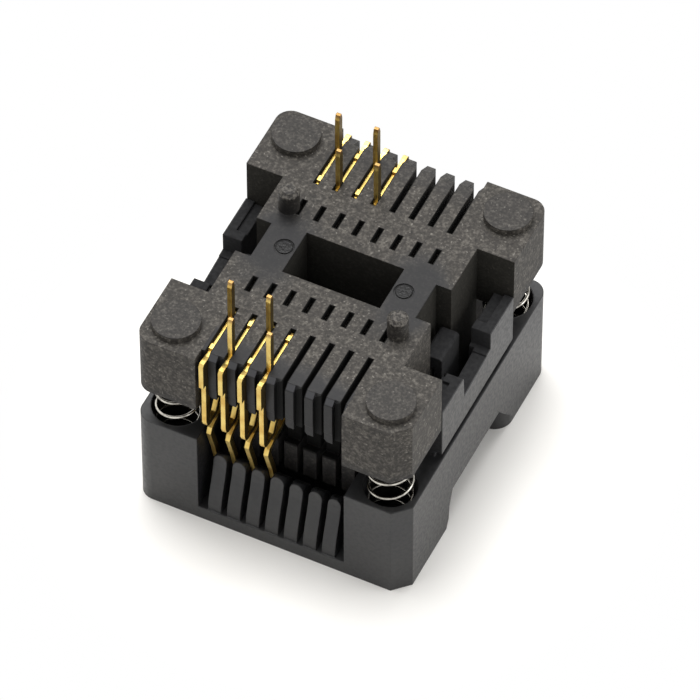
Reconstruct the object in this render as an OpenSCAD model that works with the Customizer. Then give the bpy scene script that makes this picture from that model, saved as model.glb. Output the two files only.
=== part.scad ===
// Open-top, press-to-load socket for a small-outline IC. It lies on the face of its press cover, with its
// terminal pins up. X runs along the two contact rows, Y across them and Z up, all in millimetres. The
// origin is on the surface that it lies on, under the middle of the socket.
// A cross-section is drawn as [out, z]: out is the distance from the middle plane between the two rows.

/* [Contact rows] */
// Pitch of the contact slots
pitch = 1.27; // [1.2:0.01:1.32]
// Contact slots in each row
ways = 8; // [8:1:8]
// Thickness of the stamped contact sheet
sheet_t = 0.3; // [0.2:0.01:0.32]

/* [Housing] */
// Length of the housing along the rows
housing_l = 17.8; // [17.6:0.1:19]
// Width of the housing across the rows
housing_w = 20; // [19.9:0.1:21]
// Height of the four corner blocks
block_h = 4.7; // [4.4:0.1:5]
// Depth of the body that hangs below the blocks, inside the cover
well_h = 4.7; // [4.2:0.1:4.9]
// Length of the middle opening
opening_l = 6.45; // [5:0.05:6.8]
// Width of the middle opening
opening_w = 3.36; // [3:0.02:4]
// Radius of the standoff discs
disc_r = 1.5; // [1:0.05:1.6]
// Height of the standoff discs
disc_h = 0.5; // [0.3:0.05:1]
// Radius of the two locating posts
post_r = 0.65; // [0.4:0.05:0.8]
// Height of the locating posts above the housing
post_h = 1.7; // [1:0.1:3]

/* [Contacts] */
// Height of the terminal pins above the housing
pin_h = 3.08; // [2:0.02:4]
// Width of a terminal pin along the sheet
pin_w = 0.4; // [0.3:0.02:0.5]
// Distance of the inner pin row from the middle
pin_inner = 5.975; // [5.8:0.005:6.2]
// Distance of the outer pin row from the middle
pin_outer = 8.51; // [8.2:0.01:8.7]
// Width of the strip that forms the spring and the lever
strip_w = 0.38; // [0.3:0.01:0.42]

/* [Cover] */
// Height of the cover up to its rim
cover_h = 7.45; // [7.4:0.05:8]
// Depth that the housing can be pressed into the cover
travel = 2.5; // [2:0.1:2.6]
// Length of the window that takes the IC
window_l = 11; // [10.4:0.1:11.6]
// Width of the window that takes the IC
window_w = 6.8; // [6.4:0.1:7.4]
// Height of the lip below the ribbed bays
lip_h = 1; // [0.8:0.1:1.2]
// Height of the side members above the rim
member_h = 4.35; // [3.8:0.05:4.6]

/* [Springs] */
// Outer radius of the coil
coil_r = 1.44; // [1.3:0.01:1.5]
// Diameter of the spring wire
wire_d = 0.19; // [0.15:0.01:0.25]
// Turns between the two closed ends
active_turns = 6; // [4:1:7]

/* [Hidden] */
$fn = 48;
// Overlap that joins or cuts cleanly
lap = 0.2;
// Heights along the stack: cover rim, gap for the travel, blocks
rest_gap = 0.35;
block_z = cover_h + travel + rest_gap;
top_z = block_z + block_h;
well_z = block_z - well_h;
// Slots and ribs of the housing
slot_w = sheet_t + 0.02;
mouth_w = 0.72;
channel_w = 0.4;
row_half = (ways - 1) / 2 * pitch;
bay_left = -row_half - 0.405;
bay_right = row_half + 0.315;
slot_in = 5.37;
slot_floor = top_z - 2.4;
rib_face_z = top_z - 2.95;
comb_z = top_z - 3.8;
comb_ledge_z = top_z - 8.35;
comb_foot_z = block_z - 6.25;
mouth_in = housing_w / 2 - 0.9;
front_face = housing_w / 2 - 0.53;
back_face = housing_w / 2 - 0.03;
well_half_l = 6.45;
well_half_w = 5.9;
comb_in = well_half_w + 0.2;
comb_face = well_half_w + 1.27;
comb_back = well_half_w + 0.7;
// Centres of the contact's outer bar and inner leg
bar_x = housing_w / 2 - 0.5;
leg_x = well_half_w + 0.915;
// Notches, web pockets and ledges at the two ends
notch_half = 5;
pocket_in = 5.45;
pocket_half = 1.42;
ledge_z = top_z - 4.5;
// Seat of the IC and the windows over the contact tips
seat_h = 3.3;
seat_half_l = 5.4;
seat_half_w = 3.6;
tip_window_in = 2.74;
tip_window_out = 3.91;
tip_window_w = 0.3;
tip_x = tip_window_in + 0.06;
// Corner features: discs above, springs below
corner_x = housing_l / 2 - 1.85;
corner_y = housing_w / 2 - 1.95;
corner_round = 1;
corner_cut = 1;
post_x = 5.05;
post_y = 3;
post_dome = 0.25;
// Ring marks left by the moulding's ejectors
gate_x = 3.95;
gate_y = 0.1;
gate_r = 0.62;
// Cover
cover_l = housing_l + 0.2;
cover_floor = 2.8;
cover_bay_right = row_half + 0.455;
guide_gap = 0.25;
slot_root = 7.9;
rib_w = pitch - channel_w;
rib_top = cover_h - 2.1;
rib_foot = housing_w / 2 - 0.1;
rib_bow = 0.9;
rib_dome = 0.5;
// Trough below the comb of the housing
trough_half = row_half - pitch / 2 + rib_w / 2 + guide_gap;
member_face = cover_l / 2 - 0.07;
member_in = member_face - 1.28;
member_half = notch_half - 0.07;
member_web = 0.35;
pad_rim = 0.6;
pad_depth = 0.22;
pad_near = 2.68;
pad_far = 2.43;
stem_in = well_half_l + 0.15;
stem_out = stem_in + 0.5;
hook_half = 1.2;
hook_reach = 5.85;
hook_z = ledge_z + 0.05;
hook_top = hook_z + 1.05;
pocket_r = coil_r + 0.2;
pocket_floor = 2.4;
spring_seat = 0.8;
// Finger notch along the foot of each end wall
finger_depth = 1.2;
finger_near = 4.3;
finger_far = 3.8;
finger_h = 3.87;
finger_round = 1.2;

// ---- helpers --------------------------------------------------------------------------------------

// Points of an arc about c, from angle a0 to a1
function arc(c, r, a0, a1, n = 8) =
    [for (i = [0:n]) let (a = a0 + (a1 - a0) * i / n) c + r * [cos(a), sin(a)]];

function unit(v) = v / norm(v);

// Direction of the path p at its point i
function heading(p, i) =
    i == 0 ? unit(p[1] - p[0]) :
    i == len(p) - 1 ? unit(p[i] - p[i - 1]) :
    unit(unit(p[i] - p[i - 1]) + unit(p[i + 1] - p[i]));

// Edge of a strip along p, half a width w to one side, with its corners mitred
function strip_edge(p, w, side) = [
    for (i = [0:len(p) - 1])
        let (h = heading(p, i), s = i == 0 ? h : unit(p[i] - p[i - 1]))
            p[i] + side * w / 2 / (h * s) * [-h[1], h[0]]
];

// Outline of a strip w wide along the path p
function strip(p, w) = let (
    left = strip_edge(p, w, 1),
    right = strip_edge(p, w, -1)
) concat(right, [for (i = [len(p) - 1:-1:0]) left[i]]);

// A cross-section drawn as [out, z], between x0 and x1, on the front (-Y) or the back (+Y) side
module section(x0, x1, back = false) {
    if (back)
        translate([x0, 0, 0]) rotate([90, 0, 90]) linear_extrude(x1 - x0) children();
    else
        translate([x1, 0, 0]) rotate([90, 0, -90]) linear_extrude(x1 - x0) children();
}

// Repeats a shape at both ends, or on both sides of the middle plane between the rows
module both_ends() {
    children();
    mirror([1, 0, 0]) children();
}

module both_rows() {
    children();
    mirror([0, 1, 0]) children();
}

// A box between two heights, given by its ranges
module block(x0, x1, y0, y1, z0, z1) {
    translate([x0, y0, z0]) cube([x1 - x0, y1 - y0, z1 - z0]);
}

// Outline with three round corners and one cut corner, which marks where lead 1 goes
module keyed_outline(l, w) {
    x = l / 2;
    y = w / 2;
    r = corner_round;
    difference() {
        square([l, w], center = true);
        for (c = [[-1, -1], [-1, 1], [1, 1]])
            translate([c[0] * (x - r), c[1] * (y - r)]) difference() {
                translate([c[0] * r, c[1] * r]) square(2 * r, center = true);
                circle(r);
            }
        polygon([[x - corner_cut, -y - lap], [x + lap, -y - lap], [x + lap, -y + corner_cut],
            [x, -y + corner_cut], [x - corner_cut, -y]]);
    }
}

// ---- housing --------------------------------------------------------------------------------------

// Slot positions along a row
function slot_x(i) = -row_half + i * pitch;

// Ribs between the slots of one row; their outer part is narrower, so each slot has a wider mouth
module rib_bay(face, bevel_h) {
    difference() {
        section(bay_left - lap, bay_right + lap) polygon([
            [well_half_w - lap, comb_z], [face - 0.04, comb_z], [face - 0.04, rib_face_z - 0.04],
            [face, rib_face_z], [face, top_z - bevel_h], [mouth_in, top_z], [well_half_w - lap, top_z]
        ]);
        for (i = [0:ways - 1]) {
            x = slot_x(i) + slot_w / 2;
            left = max(x - mouth_w, bay_left);
            translate([0, -mouth_in, 0]) rotate([90, 0, 0]) linear_extrude(housing_w / 2) polygon([
                [left, comb_z - lap], [x + 0.25, comb_z - lap], [x + 0.15, comb_z], [x, comb_z + 0.2],
                [x, top_z + lap], [left, top_z + lap]
            ]);
        }
    }
}

// Plates that part the contacts below the ribs, stepped out under the contact arms
module comb() {
    for (i = [0:ways - 2]) {
        x = slot_x(i) + pitch / 2;
        section(x - rib_w / 2, x + rib_w / 2) polygon([
            [well_half_w - lap, comb_foot_z], [comb_face, comb_foot_z], [comb_face, comb_ledge_z],
            [comb_back, comb_ledge_z - 0.2], [comb_back, comb_z + lap], [well_half_w - lap, comb_z + lap]
        ]);
    }
}

// Slots of one row, open at the outer end, and the channels that the contact arms run in
module row_slots() {
    for (i = [0:ways - 1]) {
        x = slot_x(i);
        section(x - slot_w / 2, x + slot_w / 2) polygon([
            [slot_in, slot_floor], [comb_in, slot_floor], [comb_in, comb_z - lap],
            [housing_w / 2 + lap, comb_z - lap], [housing_w / 2 + lap, top_z + lap],
            [slot_in, top_z + lap]
        ]);
        section(x - channel_w / 2, x + channel_w / 2) polygon([
            [tip_window_in - 0.24, well_z - lap], [well_half_w + lap, well_z - lap],
            [well_half_w + lap, well_z + seat_h + 0.05], [tip_window_in - 0.24, well_z + seat_h + 0.05]
        ]);
        block(x - tip_window_w / 2, x + tip_window_w / 2, -tip_window_out, -tip_window_in,
            well_z, top_z + lap);
    }
}

module base_housing() color([0.17, 0.17, 0.18]) {
    difference() {
        union() {
            difference() {
                translate([0, 0, block_z]) linear_extrude(block_h) keyed_outline(housing_l, housing_w);
                both_rows()
                    block(bay_left, bay_right, -housing_w / 2 - lap, -well_half_w,
                        block_z - lap, top_z + lap);
                both_ends()
                    block(well_half_l, housing_l / 2 + lap, -notch_half, notch_half,
                        block_z - lap, top_z + lap);
            }
            block(-well_half_l, well_half_l, -well_half_w, well_half_w, well_z, top_z - lap);
            rib_bay(front_face, 0.36);
            mirror([0, 1, 0]) rib_bay(back_face, 0.54);
            both_rows() comb();
        }
        both_rows() row_slots();
        both_ends() {
            block(pocket_in, well_half_l + lap, -pocket_half, pocket_half, ledge_z, top_z + lap);
            both_rows() translate([corner_x, -corner_y, block_z - lap])
                cylinder(r = coil_r + 0.15, h = lap + spring_seat);
            translate([gate_x, gate_y, top_z - 0.08]) difference() {
                cylinder(r = gate_r, h = lap);
                cylinder(r = gate_r - 0.12, h = lap);
            }
        }
        block(-seat_half_l, seat_half_l, -seat_half_w, seat_half_w, well_z - lap, well_z + seat_h);
        block(-opening_l / 2, opening_l / 2, -opening_w / 2, opening_w / 2, well_z, top_z + lap);
    }
    both_ends() both_rows()
        translate([corner_x, -corner_y, top_z - lap]) cylinder(r = disc_r, h = disc_h + lap);
    for (turn = [0, 180])
        rotate(turn) translate([post_x, -post_y, top_z]) {
            cylinder(r = post_r, h = post_h - post_dome);
            translate([0, 0, post_h - post_dome]) cylinder(r1 = post_r, r2 = post_r - 0.22, h = post_dome);
        }
}

// ---- contacts -------------------------------------------------------------------------------------

// Spring: down the outer bar, round the foot, up the inner leg, over the curl and down to the arms
function spring_path() = concat(
    [[bar_x, slot_floor]],
    arc([bar_x - 0.32, top_z - 6.05], 0.32, 0, -90, 5),
    arc([bar_x - 0.88, top_z - 6.07], 0.3, -90, -152, 4),
    arc([leg_x + 0.42, top_z - 5], 0.42, 28, 180, 10),
    [[leg_x, top_z - 6.6]]
);

// Arms: from the contact tip under the window, past the spring and out to the elbow and the lever
function arm_path() = [
    [tip_x + 0.5, top_z - 6.75], [slot_in, top_z - 6.62], [leg_x, top_z - 6.68], [leg_x + 0.735, top_z - 6.95],
    [bar_x - 1.1, top_z - 7.12], [bar_x - 0.58, top_z - 7.36], [bar_x - 0.45, top_z - 7.62],
    [bar_x - 0.74, top_z - 8.6], [bar_x - 1.04, top_z - 9.6], [bar_x - 1.28, top_z - 10.7]
];

// Outline of one stamped contact. One pin position carries a pin and the other one its cut stub.
module contact_outline(pin_out, stub_out) {
    strip_top = top_z - 0.36;
    polygon([
        [slot_in, slot_floor], [bar_x + 0.55, slot_floor], [bar_x + 0.55, top_z - 0.42],
        [bar_x + 0.38, top_z - 0.25], [bar_x + 0.1, top_z - 0.27], [bar_x - 0.3, strip_top],
        [slot_in, strip_top]
    ]);
    polygon([[bar_x - 0.25, top_z - 6], [bar_x + 0.25, top_z - 6], [bar_x + 0.25, slot_floor + 0.1],
        [bar_x - 0.25, slot_floor + 0.1]]);
    polygon(strip(spring_path(), strip_w));
    polygon(strip(arm_path(), strip_w));
    // Contact tip, turned up to meet a lead that lies on the seat
    polygon([[tip_x + 0.55, top_z - 6.94], [tip_x + 0.55, top_z - 6.56], [tip_x + 0.3, top_z - 6.4],
        [tip_x, top_z - 6.36], [tip_x + 0.05, top_z - 6.94]]);
    polygon([
        [pin_out - pin_w / 2, strip_top - 0.1], [pin_out + pin_w / 2, strip_top - 0.1],
        [pin_out + pin_w / 2, top_z + pin_h - 0.4], [pin_out + pin_w / 4, top_z + pin_h],
        [pin_out - pin_w / 4, top_z + pin_h], [pin_out - pin_w / 2, top_z + pin_h - 0.4]
    ]);
    polygon([[stub_out - 0.28, strip_top - 0.1], [stub_out + 0.28, strip_top - 0.1],
        [stub_out + 0.2, top_z - 0.13], [stub_out - 0.2, top_z - 0.13]]);
}

// Contact i of a row; neighbours have their pins in different rows, so that the pins are staggered
module contact(i, back) color([0.82, 0.66, 0.28]) {
    x = slot_x(i - 1);
    inner = (i % 2 == 1) != back;
    section(x - sheet_t / 2, x + sheet_t / 2, back)
        contact_outline(inner ? pin_inner : pin_outer, inner ? pin_outer : pin_inner);
}

// ---- cover ----------------------------------------------------------------------------------------

// Rib of a bay: bowed outer edge, thick root, and a top that narrows to lead the levers into the slots
module cover_rib(x) {
    bow = [
        for (k = [0:8])
            let (t = k / 8, s = t * t * (3 - 2 * t))
                [rib_foot - rib_bow * s, lip_h + (rib_top - lip_h) * t]
    ];
    intersection() {
        section(x - rib_w / 2, x + rib_w / 2) polygon(concat(
            [[slot_root - lap, lip_h - lap], [rib_foot, lip_h - lap]], bow,
            [[rib_foot - rib_bow - 0.2, rib_top], [slot_root, rib_top - 0.95], [slot_root, cover_floor],
                [slot_root - lap, cover_floor]]
        ));
        translate([x, 0, 0]) rotate([90, 0, 0]) linear_extrude(housing_w) polygon(concat(
            [[-rib_w / 2, 0], [rib_w / 2, 0]],
            [for (a = [0:22.5:180]) [rib_w / 2 * cos(a), rib_top + rib_dome * (sin(a) - 1)]]
        ));
    }
}

// Side member over the rim at one end, with two raised pads and a lower, thinner ramp between them
module side_member() {
    top = cover_h + member_h;
    ramp = top - 1.5;
    far = 1.75;
    near = 2;
    difference() {
        translate([member_in, 0, 0]) rotate([90, 0, 90]) linear_extrude(member_face - member_in) polygon([
            [-member_half, cover_floor], [member_half, cover_floor], [member_half, top], [far, top],
            [far, ramp + 0.15], [far - 0.55, ramp + 0.1], [far - 0.55, ramp], [-near + 0.1, ramp - 0.3],
            [-near, top - 0.15], [-near - 0.05, top], [-member_half, top]
        ]);
        // Groove over the rim
        block(member_face - 0.5, member_face + lap, -notch_half, notch_half, cover_h, cover_h + 0.45);
        // Inner side of the ramp and of the near pad
        block(member_in - lap, member_in + member_web, -near, far - 0.3, cover_h, ramp + lap);
        block(member_in - lap, member_in + 0.2, -near - lap, -near, cover_h, top + lap);
        block(member_in - lap, member_in + 0.2, -notch_half, -near - lap, top - pad_depth, top + lap);
        // Sunken pads inside a rim
        block(member_in - lap, member_face - pad_rim, pad_far, notch_half, top - pad_depth, top + lap);
        block(member_in - lap, member_face - pad_rim, -notch_half, -pad_near, top - pad_depth, top + lap);
    }
}

// Spring hook that holds the housing down over its ledge
module hook_post() {
    translate([0, hook_half, 0]) rotate([90, 0, 0]) linear_extrude(2 * hook_half) polygon([
        [stem_in, cover_floor - lap], [stem_out, cover_floor - lap], [stem_out, hook_top - 0.1],
        [stem_out - 0.18, hook_top], [hook_reach + 0.15, hook_top], [hook_reach, hook_top - 0.2],
        [hook_reach, hook_z], [stem_in, hook_z]
    ]);
}

// Finger notch along the foot of one end wall: a wide arch that is highest towards the front, with a
// rounded corner where it runs out to the back
module finger_notch() {
    outer = cover_l / 2;
    translate([outer - finger_depth, 0, 0]) rotate([90, 0, 90]) linear_extrude(finger_depth + lap) polygon([
        [-finger_near, -lap], [-finger_near, 0], [0.3 - finger_near, 0.7], [0.4 - finger_near, 1.8],
        [0.9 - finger_near, 3.2], [1.9 - finger_near, finger_h - 0.12], [-1, finger_h],
        [0.85, finger_h - 0.47], [finger_far - 1.1, finger_h - 0.35], [finger_far, 0], [finger_far, -lap]
    ]);
    intersection() {
        translate([outer - finger_round, finger_far - 1.1, -lap]) difference() {
            cube([finger_round + lap, finger_round + 1.1, finger_h]);
            translate([0, finger_round + 1.1, -lap]) cylinder(r = finger_round, h = finger_h + 2 * lap);
        }
        translate([outer - finger_depth, 0, 0]) rotate([90, 0, 90]) linear_extrude(finger_depth + lap) polygon([
            [finger_far - 1.1, -lap], [finger_far + finger_round, -lap], [finger_far + finger_round, 0.5],
            [finger_far, 2], [finger_far - 1.1, finger_h - 0.35]
        ]);
    }
}

module cover() color([0.13, 0.13, 0.15]) {
    difference() {
        linear_extrude(cover_h) keyed_outline(cover_l, housing_w);
        // Well for the body of the housing
        block(-well_half_l - guide_gap, well_half_l + guide_gap, -well_half_w - guide_gap,
            well_half_w + guide_gap, cover_floor, cover_h + lap);
        block(-member_in, member_in, -member_half, member_half, cover_floor, cover_h + lap);
        // Window for the IC, with a wide mouth on the open face
        block(-window_l / 2, window_l / 2, -window_w / 2, window_w / 2, -lap, cover_floor + lap);
        both_rows() {
            section(bay_left, cover_bay_right)
                polygon([[slot_root, lip_h], [housing_w / 2 + lap, lip_h],
                    [housing_w / 2 + lap, cover_h + lap], [well_half_w, cover_h + lap],
                    [well_half_w, cover_floor], [slot_root, cover_floor]]);
            block(-trough_half, trough_half, -comb_face - guide_gap, -well_half_w + guide_gap,
                lip_h, cover_floor + lap);
            section(-window_l / 2, window_l / 2)
                polygon([[0, -lap], [window_w / 2 + 1.2 + lap, -lap], [window_w / 2, 1.2], [0, 1.2]]);
        }
        both_ends() {
            both_rows() translate([corner_x, -corner_y, pocket_floor]) cylinder(r = pocket_r, h = cover_h);
            finger_notch();
        }
    }
    both_rows()
        for (i = [0:ways - 2])
            cover_rib(slot_x(i) + pitch / 2);
    both_ends() {
        side_member();
        hook_post();
    }
}

// ---- springs --------------------------------------------------------------------------------------

// Height of the wire's centre after t turns: a closed turn at each end and an even pitch between them
function coil_z(t, turns, low, high) =
    t < 1 ? low + wire_d * t :
    t > turns - 1 ? high - wire_d * (turns - t) :
    low + wire_d + (high - low - 2 * wire_d) * (t - 1) / (turns - 2);

module coil(x, y) color([0.8, 0.8, 0.78]) {
    steps = 18;
    sides = 6;
    turns = active_turns + 2;
    low = pocket_floor + wire_d / 2;
    high = block_z + spring_seat - wire_d / 2;
    count = turns * steps;
    points = [
        for (k = [0:count])
            let (a = 360 * k / steps, z = coil_z(k / steps, turns, low, high))
                for (j = [0:sides - 1])
                    let (b = 30 + 360 * j / sides, r = coil_r - wire_d / 2 + wire_d / 2 * cos(b))
                        [x + r * cos(a), y + r * sin(a), z + wire_d / 2 * sin(b)]
    ];
    faces = concat(
        [[for (j = [0:sides - 1]) j]],
        [[for (j = [sides - 1:-1:0]) count * sides + j]],
        [
            for (k = [0:count - 1], j = [0:sides - 1])
                let (a = k * sides + j, b = k * sides + (j + 1) % sides)
                    each [[a, a + sides, b], [b, a + sides, b + sides]]
        ]
    );
    polyhedron(points, faces);
}

base_housing();
cover();
contact(1, false);  // contact_front_1
contact(2, false);  // contact_front_2
contact(3, false);  // contact_front_3
contact(4, false);  // contact_front_4
contact(1, true);  // contact_back_1
contact(2, true);  // contact_back_2
contact(3, true);  // contact_back_3
contact(4, true);  // contact_back_4
coil(-corner_x, -corner_y);  // spring_front_left
coil(corner_x, -corner_y);  // spring_front_right
coil(-corner_x, corner_y);  // spring_back_left
coil(corner_x, corner_y);  // spring_back_right
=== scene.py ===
"""Dresses the open-top IC socket: moulded housing, press cover, gold contacts and coil springs.

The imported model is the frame. Each sub-assembly is a class, each finish is a frozen dataclass, and
main() builds them in order. Lengths are in metres unless a name ends in _mm.
"""

import logging
import math
from dataclasses import dataclass, field
from enum import Enum
from functools import reduce
from typing import NamedTuple

import bmesh
import bpy
from bpy.types import Material, Node, NodeSocket, NodeTree
from mathutils import Matrix, Vector


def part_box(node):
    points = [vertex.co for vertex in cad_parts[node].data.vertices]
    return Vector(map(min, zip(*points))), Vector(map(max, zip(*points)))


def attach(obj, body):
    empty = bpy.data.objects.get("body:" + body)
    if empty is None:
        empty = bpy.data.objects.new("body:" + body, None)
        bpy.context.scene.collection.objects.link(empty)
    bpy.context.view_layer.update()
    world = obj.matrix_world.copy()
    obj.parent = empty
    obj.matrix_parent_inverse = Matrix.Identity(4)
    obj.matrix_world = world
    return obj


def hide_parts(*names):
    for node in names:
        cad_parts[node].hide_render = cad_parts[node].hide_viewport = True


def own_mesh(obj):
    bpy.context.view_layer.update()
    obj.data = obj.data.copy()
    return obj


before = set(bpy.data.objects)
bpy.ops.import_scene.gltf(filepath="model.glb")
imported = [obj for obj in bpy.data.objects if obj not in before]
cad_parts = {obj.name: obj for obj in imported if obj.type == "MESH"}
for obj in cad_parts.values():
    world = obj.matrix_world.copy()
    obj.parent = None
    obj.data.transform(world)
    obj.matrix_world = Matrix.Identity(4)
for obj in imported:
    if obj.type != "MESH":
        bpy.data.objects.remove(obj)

log = logging.getLogger("ic_socket")
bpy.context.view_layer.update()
MM = 0.001
WHITE = (1.0, 1.0, 1.0, 1.0)
# Samples with which an edge is rounded
EDGE_SAMPLES = 4
# Setting of a Map Range node that eases in and out of its range
SMOOTH = {"interpolation_type": "SMOOTHSTEP"}
# What an input of a node takes: a value, a socket, or a node for its first output in use
Link = float | tuple[float, ...] | NodeSocket | Node


class Row(Enum):
    """The two rows of contacts."""

    FRONT = "front"
    BACK = "back"


class Side(Enum):
    """The two ends of the rows."""

    LEFT = "left"
    RIGHT = "right"


def linear(hex_colour: str) -> tuple[float, float, float, float]:
    """Turns an sRGB hex colour into linear RGBA.

    Args:
        hex_colour: Six hex digits, such as "5a5856".

    Returns:
        The opaque linear colour.
    """
    values = [int(hex_colour[i : i + 2], 16) / 255 for i in (0, 2, 4)]
    red, green, blue = [
        v / 12.92 if v <= 0.04045 else ((v + 0.055) / 1.055) ** 2.4 for v in values
    ]
    return red, green, blue, 1.0


def scale_for(size_mm: float) -> float:
    """Returns the noise scale whose features are about that size, on coordinates in metres."""
    return 1 / (size_mm * MM)


def add_node(tree: NodeTree, kind: str, *inputs: Link, **named: Link | str | int) -> Node:
    """Adds a node with its settings and links.

    Args:
        tree: The node tree.
        kind: The node's type after "ShaderNode", such as "TexNoise".
        *inputs: What the node's inputs in use take, in their order.
        **named: Settings, such as operation="ADD", and inputs by name, which start with a capital
            and have underscores for spaces, such as Base_Color.

    Returns:
        The new node.
    """
    node = tree.nodes.new("ShaderNode" + kind)
    for name, value in named.items():
        if name[0].islower():
            setattr(node, name, value)
    takes = list(zip([socket for socket in node.inputs if socket.enabled], inputs))
    takes += [(node.inputs[k.replace("_", " ")], v) for k, v in named.items() if k[0].isupper()]
    for socket, value in takes:
        if isinstance(value, Node):
            value = next(output for output in value.outputs if output.enabled)
        if isinstance(value, NodeSocket):
            tree.links.new(value, socket)
        else:
            socket.default_value = value
    return node


def sees_backdrop(tree: NodeTree) -> Node:
    """Tells the rays that see the white backdrop from those that light the socket.

    Args:
        tree: The node tree.

    Returns:
        1 for a ray from the eye, straight, mirrored or let through, and otherwise 0.
    """
    ray = add_node(tree, "LightPath").outputs
    bent = add_node(
        tree, "Math", ray["Is Glossy Ray"], ray["Is Transmission Ray"], operation="MAXIMUM"
    )
    return add_node(tree, "Math", ray["Is Camera Ray"], bent, operation="MAXIMUM")


class Canvas:
    """A material in the making, with the object coordinates that its patterns and masks lie on."""

    def __init__(self, name: str) -> None:
        """Starts an empty material.

        Args:
            name: The material's name.
        """
        self.material = bpy.data.materials.new(name)
        self.material.use_nodes = True
        self.tree = self.material.node_tree
        self.tree.nodes.clear()
        self.coords = self.add("TexCoord").outputs["Object"]
        self.x, self.y, self.z = self.add("SeparateXYZ", self.coords).outputs
        # Distance from the middle along the rows, and outwards across them
        self.along = self.add("Math", self.x, operation="ABSOLUTE")
        self.out = self.add("Math", self.y, operation="ABSOLUTE")

    def add(self, kind: str, *inputs: Link, **named: Link | str | int) -> Node:
        """Adds a node to this material, as add_node does."""
        return add_node(self.tree, kind, *inputs, **named)

    def overlap(self, *masks: Link) -> Link:
        """Returns the mask of where all of the masks hold."""
        return reduce(lambda one, two: self.add("Math", one, two, operation="MULTIPLY"), masks)

    def either(self, *masks: Link) -> Link:
        """Returns the mask of where any of the masks holds."""
        return reduce(lambda one, two: self.add("Math", one, two, operation="MAXIMUM"), masks)

    def band(self, value: Link, low: float, high: float, soft: float) -> Link:
        """Marks where a value lies between two limits.

        Args:
            value: The value.
            low: The lower limit.
            high: The upper limit.
            soft: Half the width over which the mark fades at each limit.

        Returns:
            The mask.
        """
        over = self.add("MapRange", value, low - soft, low + soft, **SMOOTH)
        under = self.add("MapRange", value, high + soft, high - soft, **SMOOTH)
        return self.overlap(over, under)

    def distance(self, x: Link, y: Link) -> Node:
        """Returns the length of a flat offset."""
        return self.add("VectorMath", self.add("CombineXYZ", x, y), operation="LENGTH")

    def tones(self, share: Link, *stops: tuple[float, str]) -> Link:
        """Runs a share through colours.

        Args:
            share: The share, 0 to 1.
            *stops: The share and the hex colour of each stop, in order.

        Returns:
            The colour.
        """
        colour = linear(stops[0][1])
        for (low, _), (high, hex_colour) in zip(stops, stops[1:]):
            step = self.add("MapRange", share, low, high)
            colour = self.add("Mix", step, colour, linear(hex_colour), data_type="RGBA")
        return colour

    def paint(self, colour: Link, *layers: tuple[Link, str]) -> Link:
        """Lays colours over one another.

        Args:
            colour: The colour below.
            *layers: The mask and the hex colour of each layer, in order.

        Returns:
            The colour that results.
        """
        for mask, hex_colour in layers:
            colour = self.add("Mix", mask, colour, linear(hex_colour), data_type="RGBA")
        return colour

    def done(self, surface: Node) -> Material:
        """Returns the material with its surface."""
        self.add("OutputMaterial", surface)
        return self.material


@dataclass(frozen=True)
class Finish:
    """A named finish. Each kind draws its own material."""

    name: str


class BayMasks(NamedTuple):
    """The masks of the ribbed bays: smooth rib ends, painted deep shade, and a painted highlight on
    the bevels.
    """

    smooth: Link
    shade: Link
    glint: Link


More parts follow.
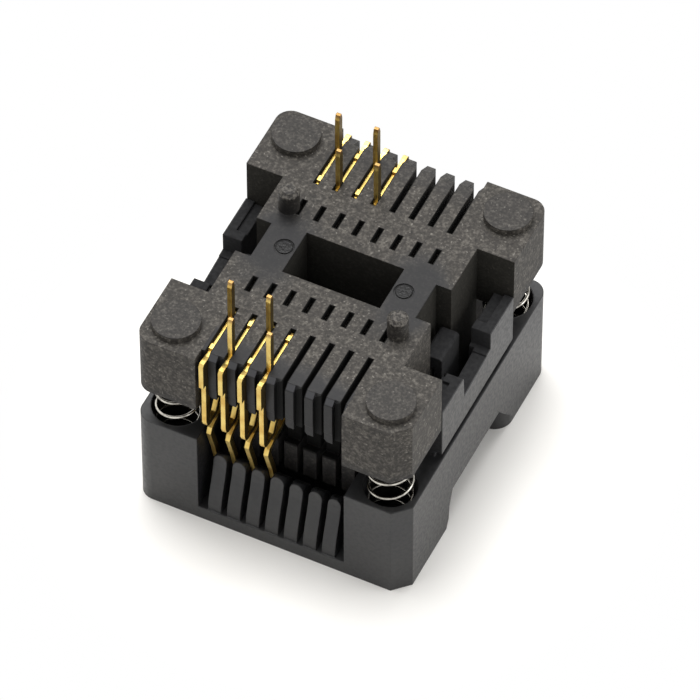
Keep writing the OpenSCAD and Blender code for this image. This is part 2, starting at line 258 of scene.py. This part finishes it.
@dataclass(frozen=True)
class GlassFilledMoulding(Finish):
    """Glass-filled high-temperature plastic, moulded in a spark-eroded tool.

    The fibres near the skin give a pale speckle, and the tool gives a pebbled grain. The plastic
    that flowed past the ends of the opening and into the thin ribs is smoother and bluer.
    """

    # The resin, the glass in it, and single fibres at the skin
    dark: str = "262422"
    mid: str = "3b3834"
    pale: str = "625e58"
    fleck: str = "827e77"
    # Smooth skin, painted shade below the ribs, and a painted highlight on the ribs' bevels
    polished: str = "18181a"
    under_rib_shade: str = "262628"
    bevel_highlight: str = "3b3b3d"
    # Painted shade for walls where little light comes, and for those where none does
    hollow_shade: str = "201f1b"
    shade: str = "060605"
    # The real fibres are too fine to show, so speckle and flecks are drawn as coarse as they show
    speckle_mm: float = 0.18
    fleck_mm: float = 0.17
    mottle_mm: float = 0.5
    cloud_mm: float = 2.6
    mottle_share: float = 0.38
    grain_depth: float = 0.05 * MM
    edge_r: float = 0.07 * MM
    specular: float = 0.22
    rough: float = 0.6
    smooth_rough: float = 0.38
    shade_rough: float = 0.4
    # How much of the grain is left on smooth skin, and how much deeper the pits of scars are
    smooth_grain: float = 0.15
    pit_depth: float = 2.5
    # How far each tone covers what lies below it
    cloud_tint: float = 0.2
    fleck_tint: float = 0.6
    smooth_tint: float = 0.9
    dust_tint: float = 0.7
    scar_tint: float = 0.95
    under_rib_shade_tint: float = 0.6
    hollow_shade_tint: float = 0.85
    # How smooth the discs and the back ribs are, where the front ribs are 1
    disc_smooth: float = 0.35
    back_smooth: float = 0.45
    # Half the width over which a painted edge fades
    soft: float = 0.02 * MM
    # The middle line between the front and the back, to each side
    middle_half: float = 0.1 * MM
    top_z: float = 15.0 * MM
    skin_h: float = 0.1 * MM
    disc_h: float = 0.4 * MM
    disc_fade: float = 0.05 * MM
    post_h: float = 1.2 * MM
    post_fade: float = 0.3 * MM
    # The smooth ground at both ends of the opening, and the gate scars in it
    patch_x: float = 4.3 * MM
    patch_in: float = 2.2 * MM
    patch_out: float = 4.0 * MM
    patch_ragged: float = 2.2 * MM
    patch_stretch: float = 0.62
    gate_x: float = 3.95 * MM
    gate_y: float = 0.1 * MM
    gate_in: float = 0.4 * MM
    gate_out: float = 0.65 * MM
    # The ribbed bays: their ends, the slots, the wider mouths, and the ribs' outer faces
    bay_middle: float = -0.045 * MM
    bay_half: float = 4.8 * MM
    pitch: float = 1.27 * MM
    first_slot: float = -4.445 * MM
    slot_half: float = 0.2 * MM
    slot_in: float = 5.33 * MM
    window_in: float = 2.69 * MM
    window_out: float = 3.96 * MM
    mouth_left: float = -5.005 * MM
    mouth_gap: float = 0.05 * MM
    mouth_step: float = 0.4 * MM
    mouth_in: float = 9.1 * MM
    mouth_h: float = 0.5 * MM
    rib_start: float = 7.4 * MM
    rib_slope: float = 0.09
    rib_ragged: float = 1.2 * MM
    rib_fade: tuple[float, float] = (0.2 * MM, 1.4 * MM)
    front_face: float = 9.47 * MM
    back_face: float = 9.97 * MM
    front_bevel: float = 0.36 * MM
    back_bevel: float = 0.54 * MM
    ledge_z: float = 6.65 * MM
    comb_z: float = 11.2 * MM
    comb_fade: float = 1.2 * MM
    # Where the shade in the bays starts, how near the ribs' skin it comes, and how it thins out
    # towards the open outer ends of the back slots
    shade_in: float = 5.1 * MM
    shade_depth: tuple[float, float] = (0.85, 0.7)
    lit_in: float = 7.2 * MM
    lit_out: float = 9.0 * MM
    lit_shade: float = 0.1
    # The share of a bevel over which it comes to catch the light
    glint_fade: float = 0.2
    # The end notches, the pockets in the web between them, and the opening
    notch_in: float = 6.5 * MM
    notch_half: float = 5.02 * MM
    pocket_in: float = 5.43 * MM
    pocket_half: float = 1.44 * MM
    opening_x: float = 3.25 * MM
    opening_y: float = 1.7 * MM

    def patches(self, c: Canvas, ragged: Link) -> Link:
        """Marks the smooth ground around both ends of the opening, which fades out raggedly.

        Args:
            c: The canvas.
            ragged: A noise that moves the edge.

        Returns:
            The mask.
        """
        away_x = c.add("Math", c.along, self.patch_x, operation="SUBTRACT")
        away_y = c.add("Math", c.y, self.patch_stretch, operation="MULTIPLY")
        away = c.distance(away_x, away_y)
        away = c.add("Math", ragged, self.patch_ragged, away, operation="MULTIPLY_ADD")
        patch = c.add("MapRange", away, self.patch_out, self.patch_in, **SMOOTH)
        skin_z = self.top_z - self.skin_h
        return c.overlap(patch, c.add("MapRange", c.z, skin_z - self.skin_h, skin_z, **SMOOTH))

    def from_middle(self, c: Canvas) -> Node:
        """Measures along the rows from the middle of the bays.

        Args:
            c: The canvas.

        Returns:
            The distance.
        """
        offset = c.add("Math", c.x, self.bay_middle, operation="SUBTRACT")
        return c.add("Math", offset, operation="ABSOLUTE")

    def gates(self, c: Canvas) -> Link:
        """Marks the two round scars inside the ring marks, where the runner was torn off.

        Args:
            c: The canvas.

        Returns:
            The mask.
        """
        away_x = c.add("Math", c.along, self.gate_x, operation="SUBTRACT")
        away_y = c.add("Math", c.y, self.gate_y, operation="SUBTRACT")
        away = c.distance(away_x, away_y)
        return c.add("MapRange", away, self.gate_out, self.gate_in, **SMOOTH)

    def slot_edge_shade(self, c: Canvas) -> Link:
        """Marks a band of painted shade along the edges of the slots and of the windows over the
        contact tips, so that they read wider than they are cut.

        Args:
            c: The canvas.

        Returns:
            The mask.
        """
        first, edge, top = self.first_slot, self.slot_half, self.top_z
        soft, ends = self.soft, self.soft / 2
        foot, skin = top - self.mouth_h, self.skin_h
        before, after = first - self.pitch / 2, first + self.pitch / 2
        across = c.add("Math", c.x, after, before, operation="WRAP")
        near = c.add("Math", across, first, operation="SUBTRACT")
        near = c.add("Math", near, operation="ABSOLUTE")
        along = self.from_middle(c)
        slots = c.add("MapRange", c.out, self.slot_in - ends, self.slot_in + ends, **SMOOTH)
        windows = c.band(c.out, self.window_in, self.window_out, ends)
        return c.overlap(
            c.add("MapRange", near, edge + soft, edge - soft, **SMOOTH),
            c.add("MapRange", along, self.bay_half + soft, self.bay_half, **SMOOTH),
            c.either(slots, windows),
            c.add("MapRange", c.z, foot, foot + skin, **SMOOTH),
            c.add("MapRange", c.z, top + skin, top + skin / 2, **SMOOTH),
        )

    def hollow_shade_mask(self, c: Canvas) -> Link:
        """Marks painted shade on the walls of the notches, the pockets and the opening, where little
        light comes.

        Args:
            c: The canvas.

        Returns:
            The mask.
        """
        soft, half, top = self.soft, self.notch_half, self.top_z
        blocks_apart = c.add("MapRange", c.out, half + soft, half - soft, **SMOOTH)
        notch = c.add("MapRange", c.along, self.notch_in - soft, self.notch_in + soft, **SMOOTH)
        # The right notch's wall towards the middle gets painted shade behind the pocket too
        wall = c.overlap(
            c.add("MapRange", c.x, self.notch_in - 4 * soft, self.notch_in - 3 * soft, **SMOOTH),
            c.add("MapRange", c.y, self.pocket_half - soft, self.pocket_half + soft, **SMOOTH),
        )
        pocket = c.overlap(
            c.add("MapRange", c.along, self.pocket_in - soft, self.pocket_in + soft, **SMOOTH),
            c.add("MapRange", c.out, self.pocket_half + soft, self.pocket_half - soft, **SMOOTH),
        )
        opening = c.overlap(
            c.add("MapRange", c.along, self.opening_x + soft, self.opening_x - soft, **SMOOTH),
            c.add("MapRange", c.out, self.opening_y + soft, self.opening_y - soft, **SMOOTH),
        )
        hollow_shade = c.either(c.overlap(c.either(notch, wall), blocks_apart), pocket, opening)
        low = top - 4 * soft
        below = c.add("MapRange", c.z, top - soft, low, 0.0, self.hollow_shade_tint, **SMOOTH)
        return c.overlap(hollow_shade, below)

    def bays(self, c: Canvas, ragged: Link) -> BayMasks:
        """Marks the smooth rib ends, painted shade on what lies behind the ribs, and a painted
        highlight on the bevels.

        Args:
            c: The canvas.
            ragged: A noise that moves the edge of the smooth ends.

        Returns:
            The masks.
        """
        half, soft = self.bay_half, self.soft
        inside = c.add("MapRange", self.from_middle(c), half + soft, half - soft, **SMOOTH)
        back = c.add("MapRange", c.y, -self.middle_half, self.middle_half, **SMOOTH)
        # The smooth ends reach further in at the left ribs than at the right ones, and cover the
        # back ribs less than the front ones
        start = c.add("Math", c.x, self.rib_slope, self.rib_start, operation="MULTIPLY_ADD")
        past = c.add("Math", c.out, start, operation="SUBTRACT")
        past = c.add("Math", ragged, self.rib_ragged, past, operation="MULTIPLY_ADD")
        ends = c.add("MapRange", past, *self.rib_fade, **SMOOTH)
        smooth = c.overlap(ends, inside, c.add("Mix", back, 1.0, self.back_smooth))
        # How far out a point lies, from the mouths' inner ends at 0 to the ribs' faces at 1
        face = c.add("Mix", back, self.front_face, self.back_face)
        reach = c.add("Math", face, self.mouth_in, operation="SUBTRACT")
        depth = c.add("Math", c.out, self.mouth_in, operation="SUBTRACT")
        depth = c.add("Math", depth, reach, operation="DIVIDE")
        # How high a point lies, from the foot of the bevels at 0 to the top at 1
        bevel = c.add("Mix", back, self.front_bevel, self.back_bevel)
        below = c.add("Math", self.top_z, c.z, operation="SUBTRACT")
        below = c.add("Math", below, bevel, operation="DIVIDE")
        rise = c.add("Math", 1.0, below, operation="SUBTRACT")
        # The rib beside each mouth slants down to the narrow rib end
        left = self.mouth_left
        wrap_at = left - self.mouth_gap
        across = c.add("Math", c.x, wrap_at + self.pitch, wrap_at, operation="WRAP")
        slant = c.add("MapRange", across, left, left + self.mouth_step, 1.0, 0.0, clamp=False)
        lifted = c.add("Math", rise, c.either(slant, 0.0), operation="ADD")
        skin = c.add("Math", c.either(depth, 0.0), c.either(lifted, 0.0), operation="ADD")
        fade, ledge_z, shade_in = self.skin_h, self.ledge_z, self.shade_in
        shade = c.overlap(
            c.add("MapRange", skin, *self.shade_depth, **SMOOTH),
            inside,
            c.add("MapRange", c.z, ledge_z - 3 * fade, ledge_z - fade, **SMOOTH),
            c.add("MapRange", c.out, shade_in - fade, shade_in + fade, **SMOOTH),
        )
        # A painted highlight on the bevels of the front ribs only
        glint = c.overlap(
            c.add("MapRange", depth, 0.0, self.glint_fade, **SMOOTH),
            c.add("MapRange", rise, 0.0, self.glint_fade, **SMOOTH),
            inside,
            c.add("Math", 1.0, back, operation="SUBTRACT"),
        )
        return BayMasks(smooth, shade, glint)

    def material(self) -> Material:
        """Draws the moulding.

        Returns:
            The finished material.
        """
        c = Canvas(self.name)
        scale = scale_for(self.speckle_mm)
        speckle = c.add("TexNoise", Vector=c.coords, Scale=scale, Roughness=0.6)
        scale = scale_for(self.mottle_mm)
        mottle = c.add("TexNoise", Vector=c.coords, Scale=scale, Detail=3.0, Roughness=0.6)
        cloud = c.add("TexNoise", Vector=c.coords, Scale=scale_for(self.cloud_mm))
        fleck = c.add("TexNoise", Vector=c.coords, Scale=scale_for(self.fleck_mm), Detail=0.0)
        bays = self.bays(c, cloud)
        # The outer ends of the back slots stand open to the light
        lit = c.add("MapRange", c.y, self.lit_in, self.lit_out, 1.0, self.lit_shade, **SMOOTH)
        # Painted shade behind the ribs and along the slot edges, thinner at the open outer ends of
        # the back slots
        shade = c.overlap(c.either(bays.shade, self.slot_edge_shade(c)), lit)
        hollow_shade = self.hollow_shade_mask(c)
        gates = self.gates(c)
        # Discs were formed by a smoother pin of the tool, and the posts' tops by rough blind pins
        low, high = self.top_z + self.disc_h, self.top_z + self.disc_h + self.disc_fade
        disc = c.add("MapRange", c.z, low, high, 0.0, self.disc_smooth, **SMOOTH)
        low, high = self.top_z + self.post_h, self.top_z + self.post_h + self.post_fade
        post = c.add("MapRange", c.z, low, high, **SMOOTH)
        even = c.either(self.patches(c, cloud), bays.smooth, disc)
        dusty = c.add("MapRange", speckle, 0.4, 0.62, 0.0, self.dust_tint, **SMOOTH)
        pitted = c.add("MapRange", speckle, 0.35, 0.6, 0.2, self.scar_tint, **SMOOTH)
        # Everything below the ribs is painted darker, as painted shade under the ribs
        low = self.comb_z - self.comb_fade
        under_rib_shade_mask = c.add("MapRange", c.z, self.comb_z, low, 0.0, self.under_rib_shade_tint, **SMOOTH)
        fine = c.add("Mix", self.mottle_share, speckle, mottle)
        body = c.paint(
            c.tones(fine, (0.32, self.dark), (0.5, self.mid), (0.68, self.pale)),
            (c.add("MapRange", cloud, 0.45, 0.7, 0.0, self.cloud_tint, **SMOOTH), self.dark),
            (c.add("MapRange", fleck, 0.74, 0.82, 0.0, self.fleck_tint, **SMOOTH), self.fleck),
            (c.overlap(even, self.smooth_tint), self.polished),
            (c.overlap(post, dusty), self.pale),
            (c.overlap(gates, pitted), self.shade),
            (under_rib_shade_mask, self.under_rib_shade),
            (hollow_shade, self.hollow_shade),
            (bays.glint, self.bevel_highlight),
            (shade, self.shade),
        )
        rough = c.add("MapRange", even, 0.0, 1.0, self.rough, self.smooth_rough, **SMOOTH)
        dull = c.either(shade, hollow_shade)
        rough = c.add("Math", dull, self.shade_rough, rough, operation="MULTIPLY_ADD")
        grain = c.add("Math", mottle, 0.4, operation="MULTIPLY")
        grain = c.add("Math", speckle, 0.7, grain, operation="MULTIPLY_ADD")
        grain_left = c.add("MapRange", even, 0.0, 1.0, 1.0, self.smooth_grain, **SMOOTH)
        grain = c.overlap(grain, grain_left)
        pits = c.overlap(speckle, c.either(gates, post))
        grain = c.add("Math", pits, self.pit_depth, grain, operation="MULTIPLY_ADD")
        edge = c.add("Bevel", self.edge_r, samples=EDGE_SAMPLES)
        bump = c.add("Bump", Strength=0.5, Distance=self.grain_depth, Height=grain, Normal=edge)
        return c.done(c.add(
            "BsdfPrincipled",
            Base_Color=body,
            Roughness=rough,
            Specular_IOR_Level=self.specular,
            Normal=bump,
        ))


@dataclass(frozen=True)
class SatinMoulding(Finish):
    """Unfilled plastic moulded in a polished tool: even, bluish black, with a soft broad gloss."""

    dark: str = "1a1a1c"
    pale: str = "232323"
    rub: str = "393735"
    # Painted shade on the hooks and pads in the notches
    notch_shade: str = "08080a"
    cloud_mm: float = 3.2
    grain_mm: float = 0.25
    rub_mm: float = 0.9
    grain_depth: float = 0.02 * MM
    edge_r: float = 0.12 * MM
    specular: float = 0.5
    rough: tuple[float, float] = (0.36, 0.5)
    rub_tint: float = 0.3
    notch_shade_tint: float = 0.8
    notch_rough: float = 0.5
    # Hooks and pads stand inside the side members' outer faces, above the rim
    member_x: float = 8.9 * MM
    member_fade: float = 0.04 * MM
    rim_z: float = 7.5 * MM
    rim_fade: float = 0.5 * MM

    def material(self) -> Material:
        """Draws the moulding.

        Returns:
            The finished material.
        """
        c = Canvas(self.name)
        cloud = c.add("TexNoise", Vector=c.coords, Scale=scale_for(self.cloud_mm), Detail=3.0)
        scale = scale_for(self.grain_mm)
        grain = c.add("TexNoise", Vector=c.coords, Scale=scale, Detail=3.0, Roughness=0.6)
        # Handling marks: sparse pale rubs
        rubs = c.add(
            "TexNoise",
            Vector=c.coords,
            Scale=scale_for(self.rub_mm),
            Detail=4.0,
            Roughness=0.7,
            Distortion=1.5,
        )
        # Painted shade on the hooks and pads that stand in the notches of the housing, where they
        # are also drawn rougher
        notch_shade_mask = c.overlap(
            c.add("MapRange", c.along, self.member_x, self.member_x - self.member_fade, **SMOOTH),
            c.add("MapRange", c.z, self.rim_z, self.rim_z + self.rim_fade, **SMOOTH),
        )
        body = c.paint(
            c.tones(cloud, (0.35, self.dark), (0.65, self.pale)),
            (c.add("MapRange", rubs, 0.62, 0.78, 0.0, self.rub_tint, **SMOOTH), self.rub),
            (c.overlap(notch_shade_mask, self.notch_shade_tint), self.notch_shade),
        )
        rough = c.add("MapRange", grain, 0.3, 0.7, *self.rough, **SMOOTH)
        rough = c.add("Math", notch_shade_mask, self.notch_rough, rough, operation="MULTIPLY_ADD")
        edge = c.add("Bevel", self.edge_r, samples=EDGE_SAMPLES)
        bump = c.add("Bump", Strength=0.25, Distance=self.grain_depth, Height=grain, Normal=edge)
        return c.done(c.add(
            "BsdfPrincipled",
            Base_Color=body,
            Roughness=rough,
            Specular_IOR_Level=self.specular,
            Normal=bump,
        ))


@dataclass(frozen=True)
class GoldPlatedStrip(Finish):
    """Beryllium copper, stamped and gold plated: bright rolled faces, and duller sheared sides
    painted darker as shade.
    """

    gold: str = "ecd07c"
    warm: str = "d4ae5c"
    # Painted shade and dark reflection on the flat sides
    sheared_side_shade: str = "33281a"
    tarnish: str = "8a6040"
    cloud_mm: float = 0.9
    line_mm: float = 0.12
    line_stretch: tuple[float, float, float] = (1.0, 0.3, 0.12)
    line_depth: float = 0.01 * MM
    edge_r: float = 0.05 * MM
    rough: tuple[float, float] = (0.32, 0.4)
    side_rough: float = 0.15
    side_shade_tint: float = 0.85
    tip_z: float = 18.0 * MM
    tip_fade: float = 0.25 * MM
    tip_tint: float = 0.7

    def material(self) -> Material:
        """Draws the plated strip.

        Returns:
            The finished material.
        """
        c = Canvas(self.name)
        cloud = c.add("TexNoise", Vector=c.coords, Scale=scale_for(self.cloud_mm))
        # The flat sides are as sheared, so they are duller than the rolled edge faces, and painted
        # darker as shade and the dark reflection of the slot walls beside them
        edge = c.add("Bevel", self.edge_r, samples=EDGE_SAMPLES)
        sideways = c.add("SeparateXYZ", edge).outputs["X"]
        sideways = c.add("Math", sideways, operation="ABSOLUTE")
        side = c.add("MapRange", sideways, 0.55, 0.95, **SMOOTH)
        # The pins' cut ends show the copper alloy
        low, high = self.tip_z - self.tip_fade, self.tip_z
        tip = c.add("MapRange", c.z, low, high, 0.0, self.tip_tint, **SMOOTH)
        colour = c.paint(
            c.tones(cloud, (0.3, self.warm), (0.6, self.gold)),
            (c.overlap(side, self.side_shade_tint), self.sheared_side_shade),
            (tip, self.tarnish),
        )
        # Fine lines along the strip, from rolling
        drawn = c.add("Mapping", Vector=c.coords, Scale=self.line_stretch)
        lines = c.add("TexNoise", Vector=drawn, Scale=scale_for(self.line_mm), Detail=1.0)
        rough = c.add("MapRange", lines, 0.3, 0.7, *self.rough, **SMOOTH)
        rough = c.add("Math", side, self.side_rough, rough, operation="MULTIPLY_ADD")
        bump = c.add("Bump", Strength=0.1, Distance=self.line_depth, Height=lines, Normal=edge)
        return c.done(c.add(
            "BsdfPrincipled", Base_Color=colour, Metallic=1.0, Roughness=rough, Normal=bump
        ))


@dataclass(frozen=True)
class DrawnSpringWire(Finish):
    """Stainless spring wire, drawn and coiled: bright, with slight changes of tone and gloss."""

    steel: str = "d6d2c8"
    shade: str = "8f8b84"
    cloud_mm: float = 0.5
    line_mm: float = 0.06
    rough: tuple[float, float] = (0.14, 0.26)

    def material(self) -> Material:
        """Draws the wire.

        Returns:
            The finished material.
        """
        c = Canvas(self.name)
        cloud = c.add("TexNoise", Vector=c.coords, Scale=scale_for(self.cloud_mm))
        lines = c.add("TexNoise", Vector=c.coords, Scale=scale_for(self.line_mm))
        colour = c.tones(cloud, (0.35, self.shade), (0.6, self.steel))
        rough = c.add("MapRange", lines, 0.3, 0.7, *self.rough, **SMOOTH)
        return c.done(c.add("BsdfPrincipled", Base_Color=colour, Metallic=1.0, Roughness=rough))


@dataclass(frozen=True)
class PaperSweep(Finish):
    """Matt white paper under the socket, which reads as plain white away from it."""

    paper: str = "f4f2ee"
    fibre_mm: float = 0.5
    fibre_depth: float = 0.02 * MM
    # The paper holds shadows up to clear_r from the middle, and is plain white past white_r
    clear_r: float = 13.0 * MM
    white_r: float = 21.0 * MM

    def material(self) -> Material:
        """Draws the paper.

        Returns:
            The finished material.
        """
        c = Canvas(self.name)
        fibre = c.add("TexNoise", Vector=c.coords, Scale=scale_for(self.fibre_mm))
        bump = c.add("Bump", Strength=0.05, Distance=self.fibre_depth, Height=fibre)
        colour = linear(self.paper)
        sheet = c.add("BsdfPrincipled", Base_Color=colour, Roughness=0.9, Normal=bump)
        away = c.add("VectorMath", c.coords, operation="LENGTH")
        far = c.add("MapRange", away, self.clear_r, self.white_r, **SMOOTH)
        glow = c.add("Emission", Color=WHITE, Strength=1.0)
        return c.done(c.add("MixShader", c.overlap(sees_backdrop(c.tree), far), sheet, glow))


def dress(node: str, material: Material) -> None:
    """Puts one material on every slot of a CAD node.

    Args:
        node: The CAD node.
        material: The material.
    """
    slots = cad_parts[node].data.materials
    if not slots:
        slots.append(material)
    for i in range(len(slots)):
        slots[i] = material


@dataclass
class Housing:
    """The moulded housing with its ribs, discs and locating posts."""

    node: str = "base_housing"

    def build(self) -> None:
        """Dresses the housing."""
        dress(self.node, GlassFilledMoulding("glass_filled_moulding").material())
        log.info("housing dressed")


@dataclass
class PressCover:
    """The press cover with its side members and hooks."""

    node: str = "cover"

    def build(self) -> None:
        """Dresses the cover."""
        dress(self.node, SatinMoulding("satin_moulding").material())
        log.info("cover dressed")


@dataclass
class ContactSet:
    """The stamped contacts of both rows."""

    count: int = 4

    def build(self) -> None:
        """Dresses every contact."""
        material = GoldPlatedStrip("gold_plated_strip").material()
        for row in Row:
            for i in range(1, self.count + 1):
                dress(f"contact_{row.value}_{i}", material)
        log.info("%d contacts dressed", self.count * len(Row))


@dataclass
class CornerSprings:
    """The four coil springs between the cover and the housing, closed at both ends."""

    wire_r: float = 0.095 * MM
    turns: int = 8
    steps: int = 40
    segments: int = 10
    travel: float = 2.5 * MM

    def height(self, turn: float, low: float, high: float) -> float:
        """Finds the height of the wire's centre, with one closed turn at each end.

        Args:
            turn: Turns wound so far.
            low: Height at the start.
            high: Height at the end.

        Returns:
            The height after that many turns.
        """
        wire = 2 * self.wire_r
        if turn < 1:
            return low + wire * turn
        if turn > self.turns - 1:
            return high - wire * (self.turns - turn)
        return low + wire + (high - low - 2 * wire) * (turn - 1) / (self.turns - 2)

    def coil(self, name: str, material: Material) -> None:
        """Winds one spring in the place of its CAD node.

        Args:
            name: The CAD node.
            material: The wire's material.
        """
        lowest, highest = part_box(name)
        centre = (lowest + highest) / 2
        radius = (highest.x - lowest.x) / 2 - self.wire_r
        low, high = lowest.z + self.wire_r, highest.z - self.wire_r
        bm = bmesh.new()
        ring = bmesh.ops.create_circle(bm, segments=self.segments, radius=self.wire_r)["verts"]
        start = Matrix.Translation(centre + Vector((radius, 0, low - centre.z)))
        bmesh.ops.transform(bm, verts=ring, matrix=start @ Matrix.Rotation(math.pi / 2, 4, "X"))
        bm.faces.new(ring)
        edges = list(bm.edges)
        step = Matrix.Rotation(2 * math.pi / self.steps, 4, "Z")
        about = Matrix.Translation(centre) @ step @ Matrix.Translation(-centre)
        for k in range(self.turns * self.steps):
            out = bmesh.ops.extrude_edge_only(bm, edges=edges)["geom"]
            ring = [g for g in out if isinstance(g, bmesh.types.BMVert)]
            edges = [
                g
                for g in out
                if isinstance(g, bmesh.types.BMEdge) and g.verts[0] in ring and g.verts[1] in ring
            ]
            before = self.height(k / self.steps, low, high)
            after = self.height((k + 1) / self.steps, low, high)
            rise = Matrix.Translation((0, 0, after - before))
            bmesh.ops.transform(bm, verts=ring, matrix=rise @ about)
        bmesh.ops.edgeloop_fill(bm, edges=edges)
        bmesh.ops.recalc_face_normals(bm, faces=bm.faces)
        mesh = bpy.data.meshes.new(name + "_wire")
        bm.to_mesh(mesh)
        bm.free()
        mesh.shade_smooth()
        mesh.materials.append(material)
        wire = bpy.data.objects.new(name + "_wire", mesh)
        bpy.context.scene.collection.objects.link(wire)
        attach(wire, "cover")
        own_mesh(wire)
        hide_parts(name)

    def build(self) -> None:
        """Winds every spring."""
        material = DrawnSpringWire("drawn_spring_wire").material()
        for row in Row:
            for side in Side:
                self.coil(f"spring_{row.value}_{side.value}", material)
        log.info("springs wound")


@dataclass(frozen=True)
class Softbox:
    """A soft square lamp: its name, place, length of side, and power in watts."""

    name: str
    place: tuple[float, float, float]
    size: float
    watts: float


@dataclass
class Studio:
    """The paper sweep, the camera and plain soft lights."""

    azimuth: float = 25.93
    elevation: float = 50.81
    distance: float = 472.7 * MM
    lens_mm: float = 404.62
    sensor_mm: float = 36.0
    nearest: float = 10.0 * MM
    target: Vector = field(default_factory=lambda: Vector((0.543, -0.190, 8.0)) * MM)
    paper_half: float = 1.5
    surround: float = 0.6
    softboxes: tuple[Softbox, ...] = (
        Softbox("overhead_softbox", (-0.12, 0.12, 0.7), 0.5, 5.8),
        Softbox("side_softbox", (0.6, 0.15, 0.25), 0.35, 1.15),
    )

    def floor(self) -> None:
        """Lays the paper."""
        mesh = bpy.data.meshes.new("paper")
        bm = bmesh.new()
        bmesh.ops.create_grid(bm, x_segments=1, y_segments=1, size=self.paper_half)
        bm.to_mesh(mesh)
        bm.free()
        paper = bpy.data.objects.new("paper_sweep", mesh)
        bpy.context.scene.collection.objects.link(paper)
        mesh.materials.append(PaperSweep("matt_paper").material())

    def camera(self) -> None:
        """Places the camera."""
        around, up = math.radians(self.azimuth), math.radians(self.elevation)
        flat = math.cos(up)
        direction = Vector((math.sin(around) * flat, -math.cos(around) * flat, math.sin(up)))
        data = bpy.data.cameras.new("camera")
        data.lens = self.lens_mm
        data.sensor_width = self.sensor_mm
        data.clip_start = self.nearest
        camera = bpy.data.objects.new("camera", data)
        camera.location = self.target + direction * self.distance
        camera.rotation_euler = (-direction).to_track_quat("-Z", "Y").to_euler()
        bpy.context.scene.collection.objects.link(camera)
        bpy.context.scene.camera = camera

    def lamp(self, softbox: Softbox) -> None:
        """Sets up one lamp, facing the socket.

        Args:
            softbox: The lamp.
        """
        data = bpy.data.lights.new(softbox.name, "AREA")
        data.size = softbox.size
        data.energy = softbox.watts
        lamp = bpy.data.objects.new(softbox.name, data)
        lamp.location = softbox.place
        towards = self.target - Vector(softbox.place)
        lamp.rotation_euler = towards.to_track_quat("-Z", "Y").to_euler()
        bpy.context.scene.collection.objects.link(lamp)

    def world(self) -> None:
        """Sets the dim light from all round, behind which the backdrop shows white."""
        world = bpy.data.worlds.new("studio")
        bpy.context.scene.world = world
        world.use_nodes = True
        tree = world.node_tree
        tree.nodes.clear()
        strength = add_node(tree, "MapRange", sees_backdrop(tree), 0.0, 1.0, self.surround, 1.0)
        glow = add_node(tree, "Background", Color=WHITE, Strength=strength)
        add_node(tree, "OutputWorld", glow)

    def build(self) -> None:
        """Sets up the stage, camera, lights and colour handling."""
        self.floor()
        self.camera()
        for softbox in self.softboxes:
            self.lamp(softbox)
        self.world()
        bpy.context.scene.view_settings.view_transform = "Standard"
        log.info("studio ready")


def main() -> None:
    """Builds and dresses the socket in order."""
    logging.basicConfig(level=logging.INFO, format="%(message)s")
    Studio().build()
    Housing().build()
    PressCover().build()
    ContactSet().build()
    CornerSprings().build()


if __name__ == "__main__":
    main()
